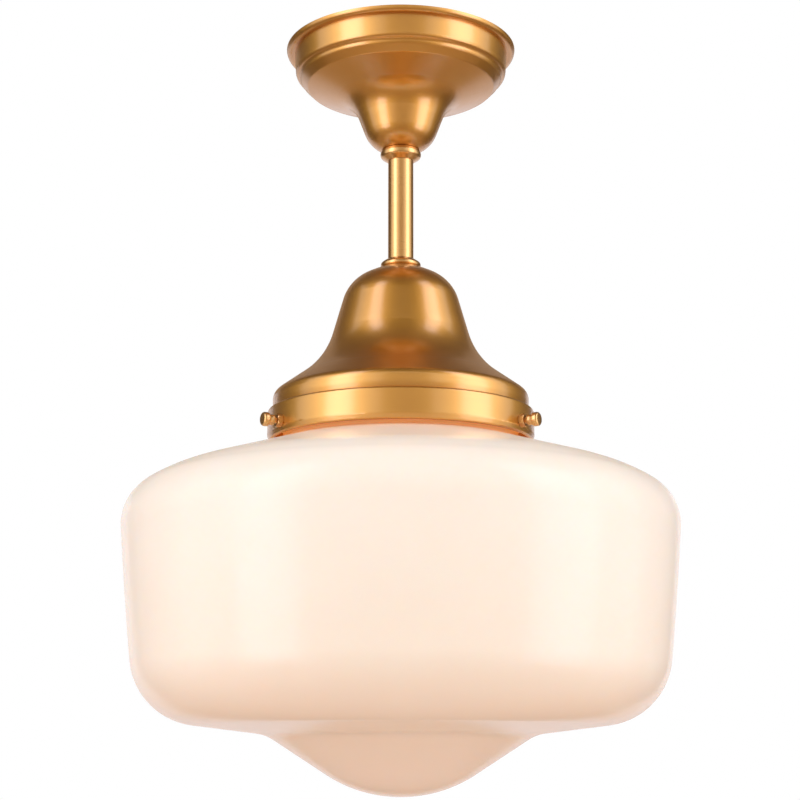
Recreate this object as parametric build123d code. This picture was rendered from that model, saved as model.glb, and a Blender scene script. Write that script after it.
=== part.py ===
from build123d import *
import math
import os

# Semi flush ceiling light: a spun brass canopy on a ceiling crossbar, a brass stem between
# two check rings, a bell cover on a shade fitter, and a white opal glass shade that hangs by
# its lip on three thumb screws. Millimetres, +Z up. The origin is in the ceiling plane, on
# the lamp's axis, so every height is negative. The side that faces the viewer is -Y.

os.makedirs("parts", exist_ok=True)

# ---- clearances
thread_gap = 0.05            # between a threaded tube and what screws on it
running_gap = 0.05           # between a turning pin and its bore
seat_gap = 0.3               # between pieces that move past each other
end_gap = 0.5                # free depth at the end of a hole, and free lead at a bend
cut_over = 1.0               # how far a cut runs on past the metal

# ---- crossbar in the ceiling box's mouth
crossbar_length = 104.0
crossbar_width = 16.0
crossbar_thickness = 2.0
slot_spacing = 79.4          # centre to centre, for box screws 70 to 89 mm apart
slot_length = 14.3
slot_width = 4.8
ground_screw_x = 21.0
ground_screw_r = 2.4
ground_screw_length = 8.0
ground_head_across = 8.0
ground_head_height = 3.0
ground_head_bevel = 0.5
ground_flange_r = 5.0
ground_flange_height = 0.8

# ---- threaded tube, its nuts and washers
nipple_r = 4.86
nipple_bore_r = 3.3
nut_across = 14.3
nut_height = 3.5
nut_bevel = 0.7
washer_r = 8.6
washer_thickness = 0.8

# ---- canopy
canopy_rim_r = 71.6
canopy_bead_r = 3.3          # the rolled rim's section
canopy_bead_round = 3.1
canopy_wall = 1.0
canopy_side_r = 66.9         # side wall where it meets the rim
canopy_side_height = 16.0
canopy_side_taper = 1.2
canopy_step_in = 2.6         # cove below the side wall
canopy_step_drop = 1.4
canopy_swell_in = 0.7        # rounded swell below the cove
canopy_swell_drop = 2.1
canopy_dish_in = 4.2
canopy_dish_drop = 4.3
canopy_neck_r = 29.9
canopy_neck_drop = 10.3
canopy_bell_r = 19.7
canopy_bell_drop = 26.9
canopy_depth = 65.3
canopy_seat_r = 11.3
canopy_bends = [3.0, 2.4, 4.0, 2.1, 22.5, 18.5, 4.5]  # from the rim down to the seat

# ---- check rings and stem
upper_ring_height = 7.0
upper_ring_seat_r = 11.75
upper_ring_r = 12.55
upper_ring_side = [2.0, 4.4]  # where its side starts and ends, from the seat
upper_ring_foot_r = 8.4
upper_ring_round = 2.2
lower_ring_height = 5.1
lower_ring_seat_r = 11.5
lower_ring_r = 12.3
lower_ring_side = [0.9, 2.7]
lower_ring_foot_r = 8.7
lower_ring_round = 2.4
ring_seat_round = 0.6
ring_side_round = 1.2
ring_foot_round = 0.5
ring_socket_depth = 1.5
stem_r = 7.8
stem_wall = 1.0
stem_visible = 63.6          # between the two check rings
stem_plug_length = 12.0
nipple_end_gap = 0.6
nipple_end_out = 1.0         # thread that shows below the last nut

# ---- bell cover
cover_wall = 1.0
cover_seat_r = 11.6
cover_top_r = 32.1
cover_top_drop = 9.5
cover_waist_r = 46.1
cover_waist_drop = 58.5
cover_rim_r = 77.2
cover_rim_height = 10.2
cover_rim_turn = 4.0         # height of its turned-in lower edge
cover_rim_in = 1.2
cover_height = 91.0
cover_bends = [6.0, 25.5, 49.0, 6.0, 7.0]  # from the seat down to the rim

# ---- shade fitter
fitter_r = 80.3
fitter_wall = 1.2
fitter_height = 18.5
fitter_lip_height = 3.4
fitter_lip_in = 1.2          # how far its lower edge leans in
fitter_curl = 1.5            # level strip inside that edge
fitter_bends = [1.6, 3.0, 1.5]  # from the top down

# ---- thumb screws
screw_drop = 12.3            # their height below the fitter's top
screw_angles = {"left": 210.0, "right": 330.0, "back": 90.0}
screw_r = 2.0
screw_nut_across = 7.0
screw_nut_height = 3.3
screw_nut_bevel = 0.5
screw_collar_r = 3.1
screw_collar_gap = 1.3       # between the nut and the collar when the shade is held
screw_collar_length = 3.5
screw_collar_round = 0.6
screw_head_r = 4.15
screw_head_length = 3.9
screw_head_round = 1.1
screw_pin_r = 1.6            # turned-down end under the soft tip
screw_pin_length = 2.6
tip_r = 2.5
tip_front = 1.0
tip_front_round = 0.7
tip_rear_round = 0.3

# ---- glass shade
glass_wall = 3.0
lip_r = 74.6
lip_height = 6.9
lip_top_gap = 1.4
lip_round = 1.6
neck_r = 70.6
neck_height = 15.6           # lip's top to where neck and shoulder meet
neck_round = 4.5
shoulder_slope = 16.5        # degrees below level
shoulder_in = 25.6
shoulder_round = 90.0
heel_slope = 30.6
heel_round = 27.0
shade_r = 165.0
shade_corner_out = 1.6
side_height = 125.5
side_taper = 5.9             # degrees, narrowing downwards
base_round = 38.5
base_slope = 7.5
drip_r = 78.0
drip_round = 72.0
drip_slope = 33.6
drip_depth = 36.1
drip_tip_round = 78.0

# ---- lampholder
bracket_thickness = 1.5
bracket_width = 14.0
bracket_half_width = 12.0
bracket_height = 19.5
bracket_foot = 8.0
bracket_bend = 2.2
bracket_foot_bend = 0.5
bracket_screw_x = 16.2
bracket_screw_r = 1.7
bracket_screw_head_r = 3.1
bracket_screw_head_height = 2.0
bracket_screw_head_round = 1.2
bracket_screw_length = 9.0
holder_r = 21.5
holder_top_height = 13.0
holder_lower_r = 19.6
holder_height = 45.5
holder_step = 3.0
holder_top_round = 2.0
holder_step_round = 1.5
holder_mouth_round = 1.0
holder_bore_r = 14.3
holder_bore_depth = 27.0
shell_inner_r = 13.3
shell_wall = 0.4
shell_length = 22.5
shell_round = 0.8
shell_hole_r = 7.5
rivet_r = 1.2
rivet_head_r = 2.0
rivet_head_height = 0.7
rivet_x = 10.4
rivet_length = 5.0
tongue_width = 5.0
tongue_thickness = 0.5
tongue_reach = 4.2
tongue_drop = 2.6
tongue_bend = 0.8

# ---- lamp bulb
bulb_length = 108.0
bulb_r = 30.0
bulb_wall = 1.0
bulb_neck_r = 12.6
bulb_neck_length = 27.0
bulb_neck_in_cap = 6.0
bulb_widest = 52.5           # above the bulb's lowest point
bulb_bends = [30.0, 27.0, 29.4]
cap_r = 13.2
cap_wall = 0.4
cap_length = 21.0
eyelet_r = 4.4
eyelet_height = 1.0
eyelet_round = 0.6
eyelet_pin_r = 1.5
eyelet_pin_length = 2.0
insulator_height = 4.0
insulator_rim = 1.0          # height of its straight edge inside the cap
insulator_top_out = 0.6      # how far its top is wider than the contact
insulator_slope_in = 2.2
tongue_gap = 0.3             # between the contact tongue and the bulb

# ---- leads
lead_r = 1.1
lead_offset = 1.4
lead_hole_r = 1.3
lead_hole_depth = 5.0
terminal_y = 9.0

# ---- heights worked out from the sizes above
lock_nut_top = -crossbar_thickness - washer_thickness
canopy_bottom = -canopy_depth
stem_top = canopy_bottom - upper_ring_height + ring_socket_depth
stem_length = stem_visible + 2 * ring_socket_depth
stem_bottom = stem_top - stem_length
cover_top = stem_bottom - lower_ring_height + ring_socket_depth
fitter_top = cover_top - cover_height
fitter_bottom = fitter_top - fitter_height
screw_z = fitter_top - screw_drop
washer_top = fitter_top - fitter_wall
fitter_nut_top = washer_top - washer_thickness
bracket_top = fitter_nut_top - nut_height
bracket_nut_top = bracket_top - bracket_thickness
nipple_bottom = bracket_nut_top - nut_height - nipple_end_out
holder_top = bracket_top - bracket_height
holder_bottom = holder_top - holder_height
holder_bore_top = holder_bottom + holder_bore_depth
eyelet_top = holder_bore_top - tongue_thickness - tongue_drop - tongue_gap
thread_r = nipple_r + thread_gap
lip_top = fitter_top - fitter_wall - lip_top_gap
lip_bottom = lip_top - lip_height


def turned(*points, radii=0.0):
    """A solid of revolution about the lamp's axis. Points are (radius, height)."""
    outline = FilletPolyline(*points, radius=radii, close=True)
    return revolve(Plane.XZ * make_face(outline), Axis.Z)


def spun(wall, radii, *points):
    """Sheet of even thickness turned about the lamp's axis. The points are its outside,
    with the metal on the right of the way they run."""
    outside = FilletPolyline(*points, radius=radii)
    section = offset(outside, amount=wall, side=Side.RIGHT, closed=True)
    return revolve(Plane.XZ * make_face(section), Axis.Z)


def upright(radius, top, bottom, x=0.0, y=0.0):
    """A round bar along Z between two heights."""
    return Pos(x, y, (top + bottom) / 2) * Cylinder(radius, top - bottom)


def tube(radius, bore, top, bottom):
    return upright(radius, top, bottom) - upright(bore, top, bottom)


def hexagon_blank(across, height, bevel):
    """A hexagon with its corners bevelled on both faces, standing on the ground plane."""
    hexagon = extrude(RegularPolygon(across / 2, 6, major_radius=False), height)
    corner_r = across / math.sqrt(3)
    turned_blank = Pos(0, 0, height / 2) * Cylinder(corner_r, height)
    return hexagon & chamfer(turned_blank.edges().filter_by(GeomType.CIRCLE), bevel)


def hex_nut(across, height, bore, bevel, top):
    blank = Pos(0, 0, top - height) * hexagon_blank(across, height, bevel)
    return blank - upright(bore, top + cut_over, top - height - cut_over)


def radial(angle):
    """Placement that turns +Z into the outward direction of a thumb screw."""
    return Pos(0, 0, screw_z) * Rot(0, 0, angle) * Rot(0, 90, 0)


# ---- crossbar and its screw
def make_crossbar():
    plate = SlotOverall(crossbar_length, crossbar_width)
    for x in (-slot_spacing / 2, slot_spacing / 2):
        plate -= Pos(x, 0) * SlotOverall(slot_length, slot_width)
    plate -= Circle(thread_r)
    plate -= Pos(ground_screw_x, 0) * Circle(ground_screw_r + thread_gap)
    return extrude(plate, -crossbar_thickness)


def make_ground_screw():
    head_top = -ground_screw_length
    flange_bottom = head_top - ground_flange_height
    shank = upright(ground_screw_r, 0, flange_bottom)
    flange = upright(ground_flange_r, head_top, flange_bottom)
    head = Pos(0, 0, flange_bottom - ground_head_height) * hexagon_blank(
        ground_head_across, ground_head_height, ground_head_bevel)
    return Pos(ground_screw_x, 0, 0) * (shank + flange + head)


# ---- canopy
def make_canopy():
    side_bottom_r = canopy_side_r - canopy_side_taper
    step_r = side_bottom_r - canopy_step_in
    step_z = -canopy_side_height - canopy_step_drop
    swell_r = step_r - canopy_swell_in
    swell_z = step_z - canopy_swell_drop
    dish_z = swell_z - canopy_dish_drop
    neck_z = dish_z - canopy_neck_drop
    bell_z = neck_z - canopy_bell_drop
    sheet = spun(
        canopy_wall,
        canopy_bends,
        (canopy_side_r, 0),
        (side_bottom_r, -canopy_side_height),
        (step_r, step_z),
        (swell_r, swell_z),
        (swell_r - canopy_dish_in, dish_z),
        (canopy_neck_r, neck_z),
        (canopy_bell_r, bell_z),
        (canopy_seat_r, canopy_bottom),
        (thread_r, canopy_bottom),
    )
    bead = turned(
        (canopy_side_r - canopy_wall / 2, 0),
        (canopy_rim_r, 0),
        (canopy_rim_r, -canopy_bead_r),
        (canopy_side_r - canopy_wall / 2, -canopy_bead_r),
        radii=[0, 0, canopy_bead_round, 0],
    )
    above_ceiling = upright(canopy_rim_r, cut_over, 0)
    return sheet + bead - above_ceiling


# ---- check rings and stem
def make_check_ring(height, seat_r, ring_r, side, foot_r, ring_round):
    """Bead with a flat seat on top, and a shallow socket for the stem below."""
    side_top, side_bottom = side
    return turned(
        (thread_r, 0),
        (seat_r, 0),
        (ring_r, -side_top),
        (ring_r, -side_bottom),
        (foot_r, -height),
        (stem_r + thread_gap, -height),
        (stem_r + thread_gap, ring_socket_depth - height),
        (thread_r, ring_socket_depth - height),
        radii=[0, ring_seat_round, ring_side_round, ring_round, ring_foot_round, 0, 0, 0],
    )


def make_upper_ring():
    ring = make_check_ring(upper_ring_height, upper_ring_seat_r, upper_ring_r,
                           upper_ring_side, upper_ring_foot_r, upper_ring_round)
    return Pos(0, 0, canopy_bottom) * ring


def make_lower_ring():
    ring = make_check_ring(lower_ring_height, lower_ring_seat_r, lower_ring_r,
                           lower_ring_side, lower_ring_foot_r, lower_ring_round)
    return Pos(0, 0, cover_top) * Rot(180, 0, 0) * ring


def make_stem_plugs():
    plug_r = stem_r - stem_wall - thread_gap
    plugs = [
        tube(plug_r, thread_r, stem_top, stem_top - stem_plug_length),
        tube(plug_r, thread_r, stem_bottom + stem_plug_length, stem_bottom),
    ]
    return Compound(children=plugs)


# ---- bell cover and fitter
def make_bell_cover():
    return spun(
        cover_wall,
        cover_bends,
        (thread_r, cover_top),
        (cover_seat_r, cover_top),
        (cover_top_r, cover_top - cover_top_drop),
        (cover_waist_r, cover_top - cover_waist_drop),
        (cover_rim_r, fitter_top + cover_rim_height),
        (cover_rim_r, fitter_top + cover_rim_turn),
        (cover_rim_r - cover_rim_in, fitter_top),
    )


def make_fitter():
    lip_edge_r = fitter_r - fitter_lip_in
    pan = spun(
        fitter_wall,
        fitter_bends,
        (thread_r, fitter_top),
        (fitter_r, fitter_top),
        (fitter_r, fitter_bottom + fitter_lip_height),
        (lip_edge_r, fitter_bottom),
        (lip_edge_r - fitter_curl, fitter_bottom),
    )
    for angle in screw_angles.values():
        hole = Cylinder(screw_r + seat_gap, 2 * fitter_curl + 2 * fitter_wall)
        pan -= radial(angle) * Pos(0, 0, fitter_r) * hole
    return pan


# ---- thumb screws, along their own axis with +Z away from the lamp
tip_start = neck_r + seat_gap
pin_start = tip_start + tip_front + running_gap
nut_start = fitter_r
collar_start = nut_start + screw_nut_height + screw_collar_gap
head_start = collar_start + screw_collar_length
head_end = head_start + screw_head_length


def make_screw_nut():
    return hex_nut(screw_nut_across, screw_nut_height, screw_r + running_gap,
                   screw_nut_bevel, nut_start + screw_nut_height)


def make_thumb_screw():
    return turned(
        (0, pin_start),
        (screw_pin_r, pin_start),
        (screw_pin_r, pin_start + screw_pin_length),
        (screw_r, pin_start + screw_pin_length),
        (screw_r, collar_start),
        (screw_collar_r, collar_start),
        (screw_collar_r, head_start),
        (screw_head_r, head_start),
        (screw_head_r, head_end),
        (0, head_end),
        radii=[0, 0, 0, 0, 0, screw_collar_round, 0, screw_head_round / 2, screw_head_round, 0],
    )


def make_screw_tip():
    """Soft cap on the screw's turned-down end, which bears on the glass."""
    return turned(
        (0, tip_start),
        (tip_r, tip_start),
        (tip_r, pin_start + screw_pin_length - seat_gap),
        (screw_pin_r + running_gap, pin_start + screw_pin_length - seat_gap),
        (screw_pin_r + running_gap, pin_start - running_gap),
        (0, pin_start - running_gap),
        radii=[0, tip_front_round, tip_rear_round, 0, 0, 0],
    )


# ---- glass shade
def make_glass_shade():
    """Opal glass blown to an even wall, with a solid lip round the top of its neck."""
    def below(height, slope, run):
        return height - run * math.tan(math.radians(slope))

    neck_bottom = lip_top - neck_height
    shoulder_r = shade_r - shoulder_in
    shoulder_z = below(neck_bottom, shoulder_slope, shoulder_r - neck_r)
    corner_r = shade_r + shade_corner_out
    corner_z = below(shoulder_z, heel_slope, corner_r - shoulder_r)
    base_r = corner_r - side_height * math.tan(math.radians(side_taper))
    base_z = corner_z - side_height
    drip_z = below(base_z, base_slope, base_r - drip_r)
    tip_z = drip_z - drip_depth
    tip_in = drip_r - drip_depth / math.tan(math.radians(drip_slope))
    body = spun(
        glass_wall,
        [neck_round, shoulder_round, heel_round, base_round, drip_round, drip_tip_round],
        (neck_r, lip_top),
        (neck_r, neck_bottom),
        (shoulder_r, shoulder_z),
        (corner_r, corner_z),
        (base_r, base_z),
        (drip_r, drip_z),
        (tip_in, tip_z),
        (0, tip_z),
    )
    lip = turned(
        (neck_r - glass_wall / 2, lip_top),
        (lip_r, lip_top),
        (lip_r, lip_bottom),
        (neck_r - glass_wall / 2, lip_bottom),
        radii=[0, lip_round, lip_round, 0],
    )
    return body + lip


# ---- lampholder
def make_bracket():
    """Strap bent to a bridge, with turned-out feet on the lampholder."""
    half = bracket_half_width
    foot_end = half + bracket_foot
    path = FilletPolyline(
        (-foot_end, holder_top + bracket_thickness),
        (-half, holder_top + bracket_thickness),
        (-half, bracket_top),
        (half, bracket_top),
        (half, holder_top + bracket_thickness),
        (foot_end, holder_top + bracket_thickness),
        radius=[bracket_foot_bend, bracket_bend, bracket_bend, bracket_foot_bend],
    )
    section = offset(path, amount=bracket_thickness, side=Side.RIGHT, closed=True)
    strap = extrude(Plane.XZ * make_face(section), bracket_width / 2, both=True)
    strap -= upright(thread_r, bracket_top + cut_over, bracket_nut_top - cut_over)
    seat = holder_top + bracket_thickness
    for x in (-bracket_screw_x, bracket_screw_x):
        strap -= upright(bracket_screw_r + thread_gap, seat + cut_over, holder_top - cut_over, x)
    return strap


def make_bracket_screws():
    screws = []
    seat = holder_top + bracket_thickness
    for x in (-bracket_screw_x, bracket_screw_x):
        head = upright(bracket_screw_head_r, seat + bracket_screw_head_height, seat, x)
        head = fillet(head.edges().group_by(Axis.Z)[-1], bracket_screw_head_round)
        shank = upright(bracket_screw_r, seat, seat - bracket_screw_length, x)
        screws.append(head + shank)
    return Compound(children=screws)


def make_holder():
    step_z = holder_top - holder_top_height
    body = turned(
        (0, holder_top),
        (holder_r, holder_top),
        (holder_r, step_z),
        (holder_lower_r, step_z - holder_step),
        (holder_lower_r, holder_bottom),
        (holder_bore_r, holder_bottom),
        (holder_bore_r, holder_bore_top),
        (0, holder_bore_top),
        radii=[0, holder_top_round, holder_step_round, holder_step_round, holder_top_round,
               holder_mouth_round, 0, 0],
    )
    screw_bottom = holder_top + bracket_thickness - bracket_screw_length - end_gap
    lead_bottom = holder_top - lead_hole_depth - end_gap
    for x in (-bracket_screw_x, bracket_screw_x):
        body -= upright(bracket_screw_r + thread_gap, holder_top + cut_over, screw_bottom, x)
    for y in (-terminal_y, terminal_y):
        body -= upright(lead_hole_r, holder_top + cut_over, lead_bottom, y=y)
    for x in (-rivet_x, rivet_x):
        body -= upright(rivet_r + thread_gap, holder_bore_top + rivet_length,
                        holder_bore_top - cut_over, x)
    return body


def make_screw_shell():
    outer_r = shell_inner_r + shell_wall
    shell = spun(
        shell_wall,
        [shell_round],
        (shell_hole_r, holder_bore_top),
        (outer_r, holder_bore_top),
        (outer_r, holder_bore_top - shell_length),
    )
    for x in (-rivet_x, rivet_x):
        shell -= upright(rivet_r + thread_gap, holder_bore_top + cut_over,
                         holder_bore_top - cut_over, x)
    return shell


def make_rivets():
    rivets = []
    seat = holder_bore_top - shell_wall
    for x in (-rivet_x, rivet_x):
        pin = upright(rivet_r, holder_bore_top + rivet_length - seat_gap, seat, x)
        rivets.append(pin + upright(rivet_head_r, seat, seat - rivet_head_height, x))
    return Compound(children=rivets)


def make_tongue():
    """Spring strip from the bottom of the recess down to the bulb's contact."""
    path = FilletPolyline(
        (-tongue_reach, holder_bore_top),
        (-tongue_reach / 3, holder_bore_top),
        (tongue_reach / 3, holder_bore_top - tongue_drop),
        (tongue_reach, holder_bore_top - tongue_drop),
        radius=[tongue_bend, tongue_bend],
    )
    section = offset(path, amount=tongue_thickness, side=Side.RIGHT, closed=True)
    return extrude(Plane.XZ * make_face(section), tongue_width / 2, both=True)


# ---- bulb
def make_eyelet():
    head = upright(eyelet_r, eyelet_top, eyelet_top - eyelet_height)
    head = fillet(head.edges().group_by(Axis.Z)[-1], eyelet_round)
    pin_bottom = eyelet_top - eyelet_height - eyelet_pin_length
    return head + upright(eyelet_pin_r, eyelet_top - eyelet_height, pin_bottom)


def make_insulator():
    top = eyelet_top - eyelet_height - running_gap
    bottom = top - insulator_height
    inner_r = cap_r - cap_wall - thread_gap
    cone = turned(
        (0, top),
        (eyelet_r + insulator_top_out, top),
        (inner_r - insulator_slope_in, bottom + insulator_rim),
        (inner_r, bottom + insulator_rim),
        (inner_r, bottom),
        (0, bottom),
    )
    pin_end = eyelet_top - eyelet_height - eyelet_pin_length - running_gap
    return cone - upright(eyelet_pin_r + running_gap, top + cut_over, pin_end)


cap_top = eyelet_top - eyelet_height - running_gap - insulator_height + insulator_rim
cap_bottom = cap_top - cap_length


def make_cap():
    return tube(cap_r, cap_r - cap_wall, cap_top, cap_bottom)


def make_envelope():
    """Hollow glass bulb whose neck sits in the cap."""
    neck_top = cap_bottom + bulb_neck_in_cap
    bulb_bottom = eyelet_top - bulb_length
    return spun(
        bulb_wall,
        bulb_bends,
        (bulb_neck_r, neck_top),
        (bulb_neck_r, neck_top - bulb_neck_length),
        (bulb_r, bulb_bottom + bulb_widest),
        (bulb_r, bulb_bottom),
        (0, bulb_bottom),
    )


# ---- leads inside the threaded tubes
def make_lead(side):
    """One insulated lead, straight down the stem and out to its terminal hole."""
    bend_start = nipple_bottom - end_gap
    bend_end = holder_top - end_gap
    drop = bend_start - bend_end
    aside = terminal_y - lead_offset
    turn = 2 * math.atan(aside / drop)
    radius = drop / (2 * math.sin(turn))
    half_run = radius * math.tan(turn / 2)
    path = FilletPolyline(
        (0, side * lead_offset, -end_gap),
        (0, side * lead_offset, bend_start - half_run),
        (0, side * terminal_y, bend_end + half_run),
        (0, side * terminal_y, holder_top - lead_hole_depth),
        radius=[radius * 0.98, radius * 0.98],
    )
    section = Plane(origin=path @ 0, z_dir=path % 0) * Circle(lead_r)
    return sweep(section, path=path)


parts = {
    "crossbar": make_crossbar(),
    "ground_screw": make_ground_screw(),
    "canopy_nipple": tube(nipple_r, nipple_bore_r, 0, stem_top - stem_plug_length
                          + nipple_end_gap),
    "crossbar_washer": tube(washer_r, thread_r, -crossbar_thickness, lock_nut_top),
    "crossbar_nut": hex_nut(nut_across, nut_height, thread_r, nut_bevel, lock_nut_top),
    "canopy": make_canopy(),
    "upper_check_ring": make_upper_ring(),
    "stem": tube(stem_r, stem_r - stem_wall, stem_top, stem_bottom),
    "stem_plugs": make_stem_plugs(),
    "lower_check_ring": make_lower_ring(),
    "cover_nipple": tube(nipple_r, nipple_bore_r, stem_bottom + stem_plug_length
                         - nipple_end_gap, nipple_bottom),
    "bell_cover": make_bell_cover(),
    "shade_fitter": make_fitter(),
    "fitter_washer": tube(washer_r, thread_r, washer_top, fitter_nut_top),
    "fitter_nut": hex_nut(nut_across, nut_height, thread_r, nut_bevel, fitter_nut_top),
    "holder_bracket": make_bracket(),
    "bracket_nut": hex_nut(nut_across, nut_height, thread_r, nut_bevel, bracket_nut_top),
    "bracket_screws": make_bracket_screws(),
    "lampholder": make_holder(),
    "screw_shell": make_screw_shell(),
    "shell_rivets": make_rivets(),
    "contact_tongue": make_tongue(),
    "lead_live": make_lead(1),
    "lead_neutral": make_lead(-1),
    "glass_shade": make_glass_shade(),
    "bulb_contact": make_eyelet(),
    "bulb_insulator": make_insulator(),
    "bulb_cap": make_cap(),
    "bulb_envelope": make_envelope(),
}

nuts = []
for side, angle in screw_angles.items():
    nuts.append(radial(angle) * make_screw_nut())
    parts[f"thumb_screw_{side}"] = radial(angle) * make_thumb_screw()
    parts[f"screw_tip_{side}"] = radial(angle) * make_screw_tip()
parts["fitter_screw_nuts"] = Compound(children=nuts)

for name, shape in parts.items():
    export_step(shape, f"parts/{name}.step")
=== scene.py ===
import math

import bmesh
import bpy
import numpy as np
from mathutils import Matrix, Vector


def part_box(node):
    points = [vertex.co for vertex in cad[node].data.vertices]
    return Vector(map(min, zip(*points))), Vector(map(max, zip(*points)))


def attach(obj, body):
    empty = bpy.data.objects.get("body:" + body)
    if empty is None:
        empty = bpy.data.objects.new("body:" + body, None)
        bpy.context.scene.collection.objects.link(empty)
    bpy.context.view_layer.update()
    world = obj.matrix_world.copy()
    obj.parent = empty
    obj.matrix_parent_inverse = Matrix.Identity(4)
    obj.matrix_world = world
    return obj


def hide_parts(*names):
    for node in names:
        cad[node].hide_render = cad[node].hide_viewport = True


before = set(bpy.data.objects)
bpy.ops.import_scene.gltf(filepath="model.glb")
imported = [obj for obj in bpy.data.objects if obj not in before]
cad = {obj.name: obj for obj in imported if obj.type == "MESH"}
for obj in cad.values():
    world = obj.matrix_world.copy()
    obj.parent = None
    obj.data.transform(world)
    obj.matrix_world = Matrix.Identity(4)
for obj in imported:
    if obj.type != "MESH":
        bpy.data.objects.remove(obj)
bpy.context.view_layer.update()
scene = bpy.context.scene


# ---- Camera: a long lens a metre in front of the light, level with the foot of its shade and
# looking up at it.
lens = bpy.data.cameras.new("camera")
lens.lens = 78.09
lens.sensor_width = 36.0
camera = bpy.data.objects.new("camera", lens)
camera.location = (-0.00047, -1.02803, -0.43585)
camera.rotation_euler = (math.radians(101.658), 0.0, 0.0)
scene.collection.objects.link(camera)
scene.camera = camera
scene.view_settings.view_transform = "Standard"


# ---- Studio: a plain white surround, a pale floor well below the light, and a tall soft box on
# each side of the camera. Painted cards all round, which only the metal and the glass reflect,
# stand in for the darker and paler parts of a photographer's room.
surround = bpy.data.worlds.new("surround")
scene.world = surround
surround.use_nodes = True
tree = surround.node_tree
tree.nodes.clear()
path_kind = tree.nodes.new("ShaderNodeLightPath")
seen = tree.nodes.new("ShaderNodeMath")
seen.operation = "MAXIMUM"
tree.links.new(path_kind.outputs["Is Camera Ray"], seen.inputs[0])
tree.links.new(path_kind.outputs["Is Glossy Ray"], seen.inputs[1])
seen_through = tree.nodes.new("ShaderNodeMath")
seen_through.operation = "MAXIMUM"
tree.links.new(seen.outputs[0], seen_through.inputs[0])
tree.links.new(path_kind.outputs["Is Transmission Ray"], seen_through.inputs[1])
soft_fill = tree.nodes.new("ShaderNodeBackground")
soft_fill.inputs["Color"].default_value = (1.0, 0.935, 0.92, 1.0)
soft_fill.inputs["Strength"].default_value = 0.92
white = tree.nodes.new("ShaderNodeBackground")
white.inputs["Color"].default_value = (1.0, 1.0, 1.0, 1.0)
white.inputs["Strength"].default_value = 1.0
chosen = tree.nodes.new("ShaderNodeMixShader")
world_out = tree.nodes.new("ShaderNodeOutputWorld")
tree.links.new(seen_through.outputs[0], chosen.inputs["Fac"])
tree.links.new(soft_fill.outputs[0], chosen.inputs[1])
tree.links.new(white.outputs[0], chosen.inputs[2])
tree.links.new(chosen.outputs[0], world_out.inputs["Surface"])


def matt(name, colour):
    """Plain matt paint for the studio's own surfaces."""
    material = bpy.data.materials.new(name)
    material.use_nodes = True
    paint = material.node_tree.nodes["Principled BSDF"]
    paint.inputs["Base Color"].default_value = (*colour, 1.0)
    paint.inputs["Roughness"].default_value = 0.9
    paint.inputs["Specular IOR Level"].default_value = 0.1
    return material


def flat_piece(name, corners, material):
    """One flat face through four corners, in metres, that is not part of the object."""
    mesh = bpy.data.meshes.new(name)
    mesh.from_pydata([tuple(c) for c in corners], [], [(0, 1, 2, 3)])
    mesh.materials.append(material)
    flat = bpy.data.objects.new(name, mesh)
    scene.collection.objects.link(flat)
    return flat


def card(name, material, azimuth, distance, height, width, tall, level=False):
    """A rectangle, upright or level, that only the metal and the glass see, as a reflection.
    The azimuth a goes from the camera's side round to the right, so the card's middle is
    distance * (sin a, -cos a), at the given height."""
    turn = math.radians(azimuth)
    middle = np.array([distance * math.sin(turn), -distance * math.cos(turn), height])
    along = np.array([math.cos(turn), math.sin(turn), 0.0]) * width / 2
    out = np.array([math.sin(turn), -math.cos(turn), 0.0])
    up = (out if level else np.array([0.0, 0.0, 1.0])) * tall / 2
    flat = flat_piece(name, [middle - along - up, middle - along + up,
                             middle + along + up, middle + along - up], material)
    flat.visible_camera = False
    flat.visible_diffuse = False
    flat.visible_transmission = False
    flat.visible_shadow = False


floor_half, floor_z = 6.0, -1.5
flat_piece("floor", [(-floor_half, -floor_half, floor_z), (floor_half, -floor_half, floor_z),
                     (floor_half, floor_half, floor_z), (-floor_half, floor_half, floor_z)],
           matt("pale floor", (0.86, 0.80, 0.74)))

grey = matt("grey card", (0.60, 0.55, 0.46))
shaded = matt("shaded card", (0.17, 0.135, 0.09))
pale = matt("pale card", (0.84, 0.84, 0.86))
tan = matt("tan card", (0.38, 0.28, 0.18))
umber = matt("umber card", (0.36, 0.285, 0.20))
dark = matt("dark card", (0.10, 0.08, 0.06))
card("card_front", grey, azimuth=5, distance=2.6, height=0.1, width=2.0, tall=3.2)
card("card_over", shaded, azimuth=0, distance=0.2, height=2.7, width=6.0, tall=6.0, level=True)
card("card_back", pale, azimuth=180, distance=3.0, height=-0.5, width=4.6, tall=2.2)
card("card_back_upper", umber, azimuth=180, distance=3.0, height=2.1, width=5.4, tall=3.0)
card("card_low", tan, azimuth=0, distance=0.3, height=-1.45, width=5.0, tall=5.0, level=True)
card("card_left", dark, azimuth=-119, distance=2.0, height=0.1, width=1.6, tall=3.0)
card("card_right", dark, azimuth=128, distance=2.0, height=0.1, width=1.5, tall=3.0)


def soft_box(name, azimuth, width, watts, distance=1.7, height=0.65, tall=3.7):
    """A tall rectangular lamp that faces the light's axis from the given azimuth."""
    data = bpy.data.lights.new(name, "AREA")
    data.shape = "RECTANGLE"
    data.size = width
    data.size_y = tall
    data.energy = watts
    data.color = (0.94, 0.94, 1.12)
    box = bpy.data.objects.new(name, data)
    turn = math.radians(azimuth)
    box.location = (distance * math.sin(turn), -distance * math.cos(turn), height)
    box.rotation_euler = (math.radians(90.0), 0.0, turn)
    scene.collection.objects.link(box)


soft_box("soft_box_left", azimuth=-52, width=0.76, watts=21.9)
soft_box("soft_box_right", azimuth=66, width=0.9, watts=23.0)


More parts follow.
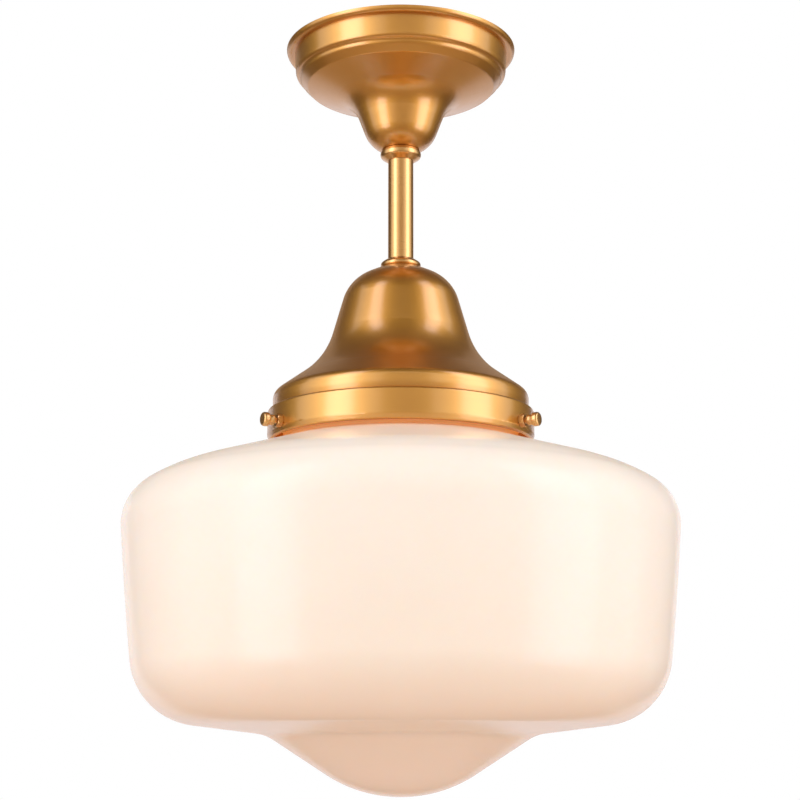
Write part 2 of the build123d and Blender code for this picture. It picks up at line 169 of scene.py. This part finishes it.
# ---- Crossbar, lock nuts, washers and lampholder bracket: stamped and pressed steel with a thin
# zinc plate. The crossbar is screwed to the ceiling box and hidden once the canopy is up, and the
# bracket sits inside the fitter.
def new_finish(name, colour, metallic, roughness):
    """A Principled material with its plain values set on the shader itself."""
    material = bpy.data.materials.new(name)
    material.use_nodes = True
    shader = material.node_tree.nodes["Principled BSDF"]
    shader.inputs["Base Color"].default_value = (*colour, 1.0)
    shader.inputs["Metallic"].default_value = metallic
    shader.inputs["Roughness"].default_value = roughness
    return material, material.node_tree, shader


def object_noise(tree, scale, detail):
    """Noise over the piece's own coordinates, with scale lumps to the metre."""
    place = tree.nodes.new("ShaderNodeTexCoord")
    noise = tree.nodes.new("ShaderNodeTexNoise")
    noise.inputs["Scale"].default_value = scale
    noise.inputs["Detail"].default_value = detail
    tree.links.new(place.outputs["Object"], noise.inputs["Vector"])
    return noise.outputs["Fac"]


def spread(tree, source, socket, low, high):
    """Carries the middle of a noise's range into a socket, from a low to a high value."""
    ranged = tree.nodes.new("ShaderNodeMapRange")
    ranged.inputs["From Min"].default_value = 0.3
    ranged.inputs["From Max"].default_value = 0.7
    ranged.inputs["To Min"].default_value = low
    ranged.inputs["To Max"].default_value = high
    tree.links.new(source, ranged.inputs["Value"])
    tree.links.new(ranged.outputs["Result"], socket)


def colour_stops(tree, source, socket, stops):
    """A colour that runs straight from stop to stop, each a place on the pattern and a colour."""
    ramp = tree.nodes.new("ShaderNodeValToRGB")
    ends = ramp.color_ramp.elements
    for end, (place, colour) in zip(ends, (stops[0], stops[-1])):
        end.position = place
        end.color = (*colour, 1.0)
    for place, colour in stops[1:-1]:
        ends.new(place).color = (*colour, 1.0)
    tree.links.new(source, ramp.inputs["Fac"])
    tree.links.new(ramp.outputs["Color"], socket)


def two_tone(tree, source, socket, first, second):
    """A colour that runs from first to second over the middle of a noise's range."""
    colour_stops(tree, source, socket, [(0.35, first), (0.65, second)])


def relief(tree, source, shader, depth):
    """Raises the surface by the pattern, depth metres high."""
    bump = tree.nodes.new("ShaderNodeBump")
    bump.inputs["Distance"].default_value = depth
    bump.inputs["Strength"].default_value = 1.0
    tree.links.new(source, bump.inputs["Height"])
    tree.links.new(bump.outputs["Normal"], shader.inputs["Normal"])


def mottled(name, dark_tone, light_tone, metallic, smooth, rough, clouds, grain, depth):
    """A finish with soft clouds of two tones, a roughness that wanders between smooth and rough
    with them, and a fine grain, depth metres high. Clouds and grain are given as lumps to the
    metre."""
    material, tree, shader = new_finish(name, light_tone, metallic, smooth)
    cloudy = object_noise(tree, clouds, 4.0)
    two_tone(tree, cloudy, shader.inputs["Base Color"], dark_tone, light_tone)
    spread(tree, cloudy, shader.inputs["Roughness"], smooth, rough)
    relief(tree, object_noise(tree, grain, 2.0), shader, depth)
    return material


def dress(material, *names):
    """Gives CAD nodes their finish through their material slots."""
    for name in names:
        cad[name].data.materials.clear()
        cad[name].data.materials.append(material)


zinc = mottled("zinc plated steel", (0.52, 0.53, 0.55), (0.68, 0.69, 0.68), metallic=1.0,
               smooth=0.28, rough=0.46, clouds=260.0, grain=900.0, depth=0.00002)
dress(zinc, "crossbar", "crossbar_washer", "crossbar_nut", "fitter_washer", "fitter_nut",
      "holder_bracket", "bracket_nut", "bracket_screws")


# ---- Threaded tubes: steel pipe with a fine rolled thread over its whole length. One runs from
# the crossbar through the canopy into the stem, the other from the stem through the bell cover,
# the fitter and the lampholder's bracket.
MM = 0.001


def grid_piece(name, points, ring_of_rows, sharp=0.6):
    """A smooth piece from points[row, column]: the columns run round and close on themselves, and
    so do the rows where ring_of_rows is true. Coinciding points, as at a pole, are merged, and
    edges that turn by more than sharp radians stay crisp."""
    rows, columns = points.shape[:2]
    row, column = np.meshgrid(np.arange(rows if ring_of_rows else rows - 1), np.arange(columns),
                              indexing="ij")
    next_row, next_column = (row + 1) % rows, (column + 1) % columns
    corners = np.stack([row * columns + column, row * columns + next_column,
                        next_row * columns + next_column, next_row * columns + column], axis=-1)
    mesh = bpy.data.meshes.new(name)
    mesh.vertices.add(rows * columns)
    mesh.vertices.foreach_set("co", points.reshape(-1))
    mesh.loops.add(corners.size)
    mesh.loops.foreach_set("vertex_index", corners.reshape(-1))
    mesh.polygons.add(corners.size // 4)
    mesh.polygons.foreach_set("loop_start", np.arange(0, corners.size, 4))
    mesh.update(calc_edges=True)
    skin = bmesh.new()
    skin.from_mesh(mesh)
    bmesh.ops.remove_doubles(skin, verts=skin.verts, dist=1e-7)
    bmesh.ops.recalc_face_normals(skin, faces=skin.faces)
    if skin.calc_volume(signed=True) < 0:
        bmesh.ops.reverse_faces(skin, faces=skin.faces)
    skin.to_mesh(mesh)
    skin.free()
    mesh.polygons.foreach_set("use_smooth", np.ones(len(mesh.polygons), bool))
    mesh.set_sharp_from_angle(angle=sharp)
    piece = bpy.data.objects.new(name, mesh)
    scene.collection.objects.link(piece)
    return piece


def turned_grid(radius, height, columns):
    """Points of a turned shape: (radius cos a, radius sin a, height), for radii and heights that
    are given per row or per row and column."""
    angle = np.linspace(0, 2 * np.pi, columns, endpoint=False)
    radius = np.broadcast_to(np.reshape(radius, (len(height), -1)), (len(height), columns))
    rise = np.broadcast_to(np.reshape(height, (len(height), -1)), radius.shape)
    return np.stack([radius * np.cos(angle), radius * np.sin(angle), rise], axis=-1)


def rolled_thread(height, columns, crest, depth, pitch):
    """Radius of a right-hand 60 degree thread at every height and angle:
    crest - depth * flank(height / pitch - angle / 2 pi), where flank is a triangle wave that is
    cut off at 0 on the crest's flat and at 1 in the root."""
    steepness, crest_flat = 1.3, 0.15
    angle = np.linspace(0, 2 * np.pi, columns, endpoint=False)
    phase = (height[:, None] / pitch - angle[None, :] / (2 * np.pi)) % 1.0
    flank = np.clip(steepness * np.abs(2 * phase - 1) - crest_flat, 0, 1)
    return crest - depth * flank


def threaded_pipe(name, pitch=0.94 * MM, depth=0.45 * MM, bore=3.3 * MM, columns=24):
    """Pipe in the place of its CAD node: threaded outside, plain bore, ends chamfered at 45
    degrees, so near an end the radius is crest - depth + distance from the end."""
    low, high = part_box(name)
    crest = (high.x - low.x) / 2
    rows_per_pitch = 8
    height = np.append(np.arange(low.z, high.z, pitch / rows_per_pitch), high.z)
    outside = rolled_thread(height, columns, crest, depth, pitch)
    from_end = np.minimum(height - low.z, high.z - height)
    outside = np.minimum(outside, (crest - depth + from_end)[:, None])
    inside = np.full((2, columns), bore)
    radius = np.concatenate([outside, inside])
    rise = np.concatenate([height, [high.z, low.z]])
    pipe = grid_piece(name + "_threaded", turned_grid(radius, rise, columns), ring_of_rows=True)
    pipe.data.materials.append(zinc)
    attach(pipe, "root")
    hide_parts(name)


threaded_pipe("canopy_nipple")
threaded_pipe("cover_nipple")


# ---- Ground screw: steel, plated green, with a six-sided head, a thin flange and a fine thread
# that runs up into the crossbar.
green = mottled("green plated steel", (0.04, 0.24, 0.09), (0.09, 0.36, 0.15), metallic=0.7,
                smooth=0.32, rough=0.44, clouds=420.0, grain=1500.0, depth=0.00001)
screw_low, screw_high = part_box("ground_screw")
screw_x = (screw_low.x + screw_high.x) / 2
screw_columns = 48
shank_r, shank_depth, shank_pitch = 2.4 * MM, 0.38 * MM, 0.794 * MM
flange_r, flange_thick = 5.0 * MM, 0.8 * MM
head_flat, head_tall, head_bevel = 4.0 * MM, 3.0 * MM, 0.4 * MM
flange_bottom = screw_low.z + head_tall
flange_top = flange_bottom + flange_thick
# A hexagon's radius is flat / cos of the angle from the middle of the nearest side.
angle = np.linspace(0, 2 * np.pi, screw_columns, endpoint=False)
hexagon = head_flat / np.cos((angle + np.pi / 6) % (np.pi / 3) - np.pi / 6)
bevelled = np.minimum(hexagon, head_flat * 1.04)
shank_z = np.linspace(screw_high.z, flange_top, 84)
shank = rolled_thread(shank_z, screw_columns, shank_r, shank_depth, shank_pitch)
pole = np.zeros((1, screw_columns))
flange_edge = np.full((2, screw_columns), flange_r)
screw_radius = np.concatenate([pole, shank, flange_edge, [hexagon, hexagon, bevelled], pole])
screw_rise = np.concatenate([[screw_high.z], shank_z, [flange_top, flange_bottom, flange_bottom,
                             screw_low.z + head_bevel, screw_low.z, screw_low.z]])
screw_points = turned_grid(screw_radius, screw_rise, screw_columns) + (screw_x, 0.0, 0.0)
ground_screw = grid_piece("ground_screw_threaded", screw_points, ring_of_rows=False)
ground_screw.data.materials.append(green)
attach(ground_screw, "root")
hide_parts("ground_screw")


# ---- Canopy, bell cover and shade fitter: brass sheet spun on a lathe over a former, brushed to a
# fine satin while it turns, and clear lacquered. The threaded tubes clamp them to the stem.
def turning_lines(tree, fineness, detail):
    """Noise that depends only on the distance from the light's axis and on height, so that it
    makes closed rings round the axis as a lathe does."""
    place = tree.nodes.new("ShaderNodeTexCoord")
    flat = tree.nodes.new("ShaderNodeVectorMath")
    flat.operation = "MULTIPLY"
    flat.inputs[1].default_value = (1.0, 1.0, 0.0)
    out = tree.nodes.new("ShaderNodeVectorMath")
    out.operation = "LENGTH"
    split = tree.nodes.new("ShaderNodeSeparateXYZ")
    rings = tree.nodes.new("ShaderNodeCombineXYZ")
    noise = tree.nodes.new("ShaderNodeTexNoise")
    noise.inputs["Scale"].default_value = fineness
    noise.inputs["Detail"].default_value = detail
    tree.links.new(place.outputs["Object"], flat.inputs[0])
    tree.links.new(flat.outputs["Vector"], out.inputs[0])
    tree.links.new(place.outputs["Object"], split.inputs[0])
    tree.links.new(out.outputs["Value"], rings.inputs["X"])
    tree.links.new(split.outputs["Z"], rings.inputs["Z"])
    tree.links.new(rings.outputs["Vector"], noise.inputs["Vector"])
    return noise.outputs["Fac"]


def satin_brass(name, deep, light, smooth, rough, fineness, line_depth):
    """Lacquered brass: fine lathe lines in roughness and relief, and faint clouds of tarnish."""
    material, tree, shader = new_finish(name, deep, 1.0, smooth)
    lines = turning_lines(tree, fineness, 3.0)
    tarnish = object_noise(tree, 22.0, 3.0)
    two_tone(tree, tarnish, shader.inputs["Base Color"], deep, light)
    spread(tree, lines, shader.inputs["Roughness"], smooth, rough)
    relief(tree, lines, shader, line_depth)
    shader.inputs["Anisotropic"].default_value = 0.35
    shader.inputs["Coat Weight"].default_value = 1.0
    shader.inputs["Coat Roughness"].default_value = 0.21
    shader.inputs["Coat IOR"].default_value = 1.8
    tangent = tree.nodes.new("ShaderNodeTangent")
    tangent.direction_type = "RADIAL"
    tangent.axis = "Z"
    tree.links.new(tangent.outputs["Tangent"], shader.inputs["Tangent"])
    return material


spun_brass = satin_brass("spun satin brass", (0.65, 0.302, 0.034), (0.69, 0.332, 0.044),
                         smooth=0.36, rough=0.41, fineness=1600.0, line_depth=0.000002)
dress(spun_brass, "canopy", "bell_cover", "shade_fitter")


# ---- Check rings, stem and the small fitter nuts: turned brass bar and tube, finer and a little
# brighter than the spun parts. The nuts are brazed over holes in the fitter.
turned_brass = satin_brass("turned satin brass", (0.69, 0.358, 0.080), (0.73, 0.388, 0.095),
                           smooth=0.27, rough=0.30, fineness=1200.0, line_depth=0.0000003)
dress(turned_brass, "upper_check_ring", "lower_check_ring", "stem", "stem_plugs",
      "fitter_screw_nuts")


# ---- Thumb screws: turned brass with a fine thread, a collar and a smooth barrel head. Each one
# is screwed through its nut, rides on its own turning body and ends in a soft tip.
def thumb_screw(side, compass):
    """Profile along the screw's own axis, carried round it, then laid along the outward
    direction (cos c, sin c) at the screws' height. Distances are measured from the light's
    axis, and every quarter round is centre + radius * (sin q, cos q)."""
    columns = 40
    axis_z = -244.3 * MM
    thread_r, thread_depth, thread_pitch = 2.0 * MM, 0.42 * MM, 0.7 * MM
    pin_r, collar_r, head_r = 1.6 * MM, 3.1 * MM, 4.15 * MM
    pin_in, thread_in, collar_in, collar_out, head_out = (
        np.array([71.95, 74.55, 84.9, 88.4, 92.3]) * MM)
    pin_bevel, collar_bevel, collar_straight = 0.2 * MM, 0.3 * MM, 0.5 * MM
    fillet, shoulder, nose = 0.6 * MM, 0.8 * MM, 1.3 * MM
    thread_x = np.linspace(thread_in, collar_in, 121)
    thread = rolled_thread(thread_x, columns, thread_r, thread_depth, thread_pitch)
    runout = np.clip((collar_in - thread_x) / thread_pitch, 0, 1)[:, None]
    thread = thread_r - (thread_r - thread) * runout
    quarter = np.linspace(0, np.pi / 2, 7)
    pin = [(0.0, pin_in), (pin_r - pin_bevel, pin_in), (pin_r, pin_in + pin_bevel),
           (pin_r, thread_in)]
    collar = [(thread_r, collar_in)]
    collar += [(collar_r - fillet + fillet * np.sin(q), collar_in + fillet - fillet * np.cos(q))
               for q in quarter]
    collar += [(collar_r, collar_out - collar_straight), (collar_r - collar_bevel, collar_out)]
    head = [(head_r - shoulder + shoulder * np.sin(q), collar_out + shoulder * (1 - np.cos(q)))
            for q in quarter]
    head += [(head_r - nose + nose * np.cos(q), head_out - nose + nose * np.sin(q))
             for q in quarter]
    head += [(0.0, head_out)]
    inner, outer = np.array(pin), np.array(collar + head)
    plain = np.ones((1, columns))
    radius = np.concatenate([inner[:, :1] * plain, thread, outer[:, :1] * plain])
    distance = np.concatenate([inner[:, 1], thread_x, outer[:, 1]])
    local = turned_grid(radius, distance, columns)
    c = math.radians(compass)
    down, across, out = local[..., 0], local[..., 1], local[..., 2]
    points = np.stack([out * math.cos(c) - across * math.sin(c),
                       out * math.sin(c) + across * math.cos(c), axis_z - down], axis=-1)
    screw = grid_piece(f"thumb_screw_{side}_turned", points, ring_of_rows=False, sharp=0.7)
    screw.data.materials.append(turned_brass)
    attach(screw, f"screw_{side}")
    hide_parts(f"thumb_screw_{side}")


thumb_screw("left", 210.0)
thumb_screw("right", 330.0)
thumb_screw("back", 90.0)

soft_tip = mottled("soft tip", (0.74, 0.74, 0.70), (0.84, 0.84, 0.80), metallic=0.0,
                   smooth=0.55, rough=0.70, clouds=500.0, grain=2500.0, depth=0.00002)
dress(soft_tip, "screw_tip_left", "screw_tip_right", "screw_tip_back")


# ---- Shade: opal glass blown in a mould to an even wall, glossy outside and dense white. Its
# colour is painted darker and warmer towards the bottom as shade where the bowl faces down, and
# orange from the foot of the neck up as painted shade and brass reflection in the gap under the
# fitter. Its solid lip hangs on the three thumb screws inside the fitter. It turns more sharply
# above the drip than its CAD node, as the real one does.
def rounded_run(corners, radii, gap):
    """Profile of (radius, height) through the corners. Each inner corner is turned by an arc of
    its own radius that touches both runs: for half the angle h between them it starts and ends
    radius / tan h from the corner, and its centre is radius / sin h away along the middle line.
    No two points are more than gap apart."""
    corners = np.array(corners)
    stretches = []
    start = corners[0]
    for before, corner, after, radius in zip(corners, corners[1:], corners[2:], radii):
        back, ahead = before - corner, after - corner
        back, ahead = back / np.linalg.norm(back), ahead / np.linalg.norm(ahead)
        half_angle = np.arccos(back @ ahead) / 2
        first = corner + back * radius / np.tan(half_angle)
        last = corner + ahead * radius / np.tan(half_angle)
        middle = (back + ahead) / np.linalg.norm(back + ahead)
        centre = corner + middle * radius / np.sin(half_angle)
        straight = np.linspace(0, 1, int(np.ceil(np.linalg.norm(first - start) / gap)) + 1)
        stretches.append(start + (first - start) * straight[:-1, None])
        from_angle = np.arctan2(*(first - centre)[::-1])
        to_angle = np.arctan2(*(last - centre)[::-1])
        turn = (to_angle - from_angle + np.pi) % (2 * np.pi) - np.pi
        swept = from_angle + turn * np.linspace(0, 1, int(np.ceil(radius * abs(turn) / gap)) + 3)
        arc = centre + radius * np.stack([np.cos(swept), np.sin(swept)], axis=-1)
        stretches.append(arc[:-1])
        start = last
    straight = np.linspace(0, 1, int(np.ceil(np.linalg.norm(corners[-1] - start) / gap)) + 1)
    stretches.append(start + (corners[-1] - start) * straight[:, None])
    return np.concatenate(stretches)


def inner_skin(outside, wall):
    """The profile moved towards the inside of the bowl: each point goes wall along its direction
    of travel turned a quarter to the left, (-dz, dr)."""
    along = np.gradient(outside, axis=0)
    along /= np.linalg.norm(along, axis=1, keepdims=True)
    return outside + wall * np.stack([-along[:, 1], along[:, 0]], axis=-1)


glass_wall = 3.0
neck_r, neck_foot = 70.6, -251.1
lip_r, lip_top, lip_bottom, lip_round = 74.6, -234.6, -241.5, 1.6
# Radius and height in mm of the tip, the drip, its top, the heel, the side, the shoulder's edge,
# the long shoulder and the neck, and the rounds at all of them but the ends.
bowl_corners = [(0.0, -457.90), (23.90, -457.90), (78.8, -422.6), (153.95, -413.3),
                (161.4, -345.0), (166.3, -286.61), (139.4, -271.55), (neck_r, neck_foot),
                (neck_r, lip_top)]
bowl_rounds = [79.57, 24.0, 41.78, 2200.0, 27.0, 90.0, 4.5]
bowl = rounded_run(bowl_corners, bowl_rounds, gap=2.0)
below_lip = bowl[bowl[:, 1] < lip_bottom]
lip = rounded_run([(neck_r, lip_bottom), (lip_r, lip_bottom), (lip_r, lip_top),
                   (neck_r - glass_wall, lip_top)], [lip_round, lip_round], gap=0.8)
blown = np.concatenate([below_lip, lip, inner_skin(bowl, glass_wall)[-2::-1]]) * MM
blown[[0, -1], 0] = 0.0
glass_shade = grid_piece("glass_shade_blown", turned_grid(blown[:, 0], blown[:, 1], 192),
                         ring_of_rows=False, sharp=0.8)

opal, opal_tree, opal_shader = new_finish("opal glass", (0.97, 0.90, 0.83), 0.0, 0.26)
opal_shader.inputs["IOR"].default_value = 1.42
opal_shader.inputs["Subsurface Weight"].default_value = 0.7
opal_shader.inputs["Subsurface Radius"].default_value = (1.0, 0.7, 0.5)
opal_shader.inputs["Subsurface Scale"].default_value = 0.008
place = opal_tree.nodes.new("ShaderNodeTexCoord")
split = opal_tree.nodes.new("ShaderNodeSeparateXYZ")
height = opal_tree.nodes.new("ShaderNodeMapRange")
height.inputs["From Min"].default_value = -0.46
height.inputs["From Max"].default_value = -0.24
opal_tree.links.new(place.outputs["Object"], split.inputs[0])
opal_tree.links.new(split.outputs["Z"], height.inputs["Value"])
# The glass from its tip up: drip, turn of the base, lower third, shoulder, foot of the neck, lip.
# These colours are painted light and shade: darker and warmer low down where the bowl faces
# down, lightest on the upward-facing shoulder, and orange from the foot of the neck up as painted
# shade and brass reflection in the gap under the fitter.
milk = object_noise(opal_tree, 14.0, 3.0)
painted_shade_and_milk = opal_tree.nodes.new("ShaderNodeMix")
painted_shade_and_milk.data_type = "RGBA"
painted_shade_and_milk.blend_type = "MULTIPLY"
painted_shade_and_milk.inputs["Factor"].default_value = 1.0
colour_stops(opal_tree, height.outputs["Result"], painted_shade_and_milk.inputs["A"],
             [(0.0, (0.80, 0.58, 0.445)), (0.19, (0.81, 0.59, 0.445)),
              (0.35, (0.95, 0.745, 0.60)), (0.925, (0.98, 0.81, 0.68)),
              (0.95, (0.86, 0.62, 0.42)), (1.0, (0.86, 0.62, 0.42))])
two_tone(opal_tree, milk, painted_shade_and_milk.inputs["B"], (0.985, 0.98, 0.975), (1.0, 1.0, 1.0))
opal_tree.links.new(painted_shade_and_milk.outputs["Result"], opal_shader.inputs["Base Color"])
spread(opal_tree, milk, opal_shader.inputs["Roughness"], 0.19, 0.23)
relief(opal_tree, object_noise(opal_tree, 9.0, 2.0), opal_shader, 0.00003)
# A painted glow: the glass from the foot of the neck up gives off a warm light of its own, which
# brightens the gap under the brass.
colour_stops(opal_tree, height.outputs["Result"], opal_shader.inputs["Emission Color"],
             [(0.90, (0.0, 0.0, 0.0)), (0.942, (0.07, 0.035, 0.015)),
              (0.950, (0.32, 0.115, 0.02))])
opal_shader.inputs["Emission Strength"].default_value = 1.0
glass_shade.data.materials.append(opal)
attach(glass_shade, "root")
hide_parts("glass_shade")


# ---- Lampholder: glazed porcelain with a thin sheet brass screw shell and centre contact riveted
# inside. The shell's rounded thread is pressed into the sheet.
porcelain = mottled("glazed porcelain", (0.80, 0.79, 0.75), (0.88, 0.87, 0.83), metallic=0.0,
                    smooth=0.08, rough=0.16, clouds=90.0, grain=60.0, depth=0.00008)
dress(porcelain, "lampholder")
stamped_brass = mottled("stamped brass", (0.64, 0.44, 0.17), (0.75, 0.55, 0.25), metallic=1.0,
                        smooth=0.20, rough=0.36, clouds=180.0, grain=700.0, depth=0.00001)
dress(stamped_brass, "shell_rivets", "contact_tongue")

bulb_pitch = 25.4 / 7 * MM
sheet = 0.4 * MM
wave_columns = 64
wave_rows = 97
wave_half_depth = 0.45 * MM


def pressed_thread(height, crest, thread_top, thread_bottom):
    """Radius of the rounded right-hand bulb thread at every height and angle:
    crest - half depth * fade * (1 - cos(2 pi height / pitch - angle)), which fades out over one
    pitch at both ends."""
    angle = np.linspace(0, 2 * np.pi, wave_columns, endpoint=False)
    fade = np.clip(np.minimum(thread_top - height, height - thread_bottom) / bulb_pitch, 0, 1)
    wave = 1 - np.cos(2 * np.pi * height[:, None] / bulb_pitch - angle[None, :])
    return crest - wave_half_depth * fade[:, None] * wave


cap_low, cap_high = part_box("bulb_cap")
thread_top = cap_high.z - 1.5 * MM
thread_bottom = cap_low.z + 6.5 * MM
shell_low, shell_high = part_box("screw_shell")
shell_crest, shell_hole_r = 13.3 * MM, 7.5 * MM
shell_under = shell_high.z - sheet
shell_height = np.linspace(shell_low.z, shell_under, wave_rows)
shell_inside = pressed_thread(shell_height, shell_crest, thread_top, thread_bottom)
shell_hole = np.full((2, wave_columns), shell_hole_r)
shell_radius = np.concatenate([shell_inside, shell_hole, (shell_inside + sheet)[::-1]])
shell_rise = np.concatenate([shell_height, [shell_under, shell_high.z, shell_high.z],
                             shell_height[-2::-1]])
screw_shell = grid_piece("screw_shell_threaded",
                         turned_grid(shell_radius, shell_rise, wave_columns), ring_of_rows=True)
screw_shell.data.materials.append(stamped_brass)
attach(screw_shell, "root")
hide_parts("screw_shell")


# ---- Bulb: frosted glass envelope cemented into an aluminium cap with the same pressed thread,
# a black glass insulator in its end and a soldered centre contact. It rides on the turning body.
frosted = mottled("frosted glass", (0.88, 0.88, 0.86), (0.94, 0.94, 0.92), metallic=0.0,
                  smooth=0.32, rough=0.42, clouds=60.0, grain=3000.0, depth=0.00001)
dress(frosted, "bulb_envelope")
aluminium = mottled("aluminium sheet", (0.70, 0.70, 0.71), (0.82, 0.82, 0.83), metallic=1.0,
                    smooth=0.24, rough=0.36, clouds=240.0, grain=900.0, depth=0.00001)
cap_crest = 13.2 * MM
cap_height = np.linspace(cap_low.z, cap_high.z, wave_rows)
cap_outside = pressed_thread(cap_height, cap_crest, thread_top, thread_bottom)
cap_radius = np.concatenate([cap_outside, (cap_outside - sheet)[::-1]])
cap_rise = np.concatenate([cap_height, cap_height[::-1]])
bulb_cap = grid_piece("bulb_cap_threaded", turned_grid(cap_radius, cap_rise, wave_columns),
                      ring_of_rows=True)
bulb_cap.data.materials.append(aluminium)
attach(bulb_cap, "bulb")
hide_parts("bulb_cap")

black_glass = mottled("black glass", (0.015, 0.012, 0.018), (0.03, 0.024, 0.034), metallic=0.0,
                      smooth=0.08, rough=0.2, clouds=300.0, grain=500.0, depth=0.00002)
dress(black_glass, "bulb_insulator")
solder = mottled("solder", (0.48, 0.48, 0.49), (0.66, 0.66, 0.65), metallic=1.0,
                 smooth=0.30, rough=0.50, clouds=700.0, grain=900.0, depth=0.00006)
dress(solder, "bulb_contact")


# ---- Leads: stranded copper in a smooth extruded jacket, one black and one white, which run down
# inside the threaded tubes to the lampholder's terminals.
black_lead = mottled("black lead", (0.015, 0.015, 0.015), (0.028, 0.028, 0.028), metallic=0.0,
                     smooth=0.38, rough=0.50, clouds=150.0, grain=1800.0, depth=0.00001)
dress(black_lead, "lead_live")
white_lead = mottled("white lead", (0.74, 0.74, 0.71), (0.82, 0.82, 0.79), metallic=0.0,
                     smooth=0.38, rough=0.50, clouds=150.0, grain=1800.0, depth=0.00001)
dress(white_lead, "lead_neutral")
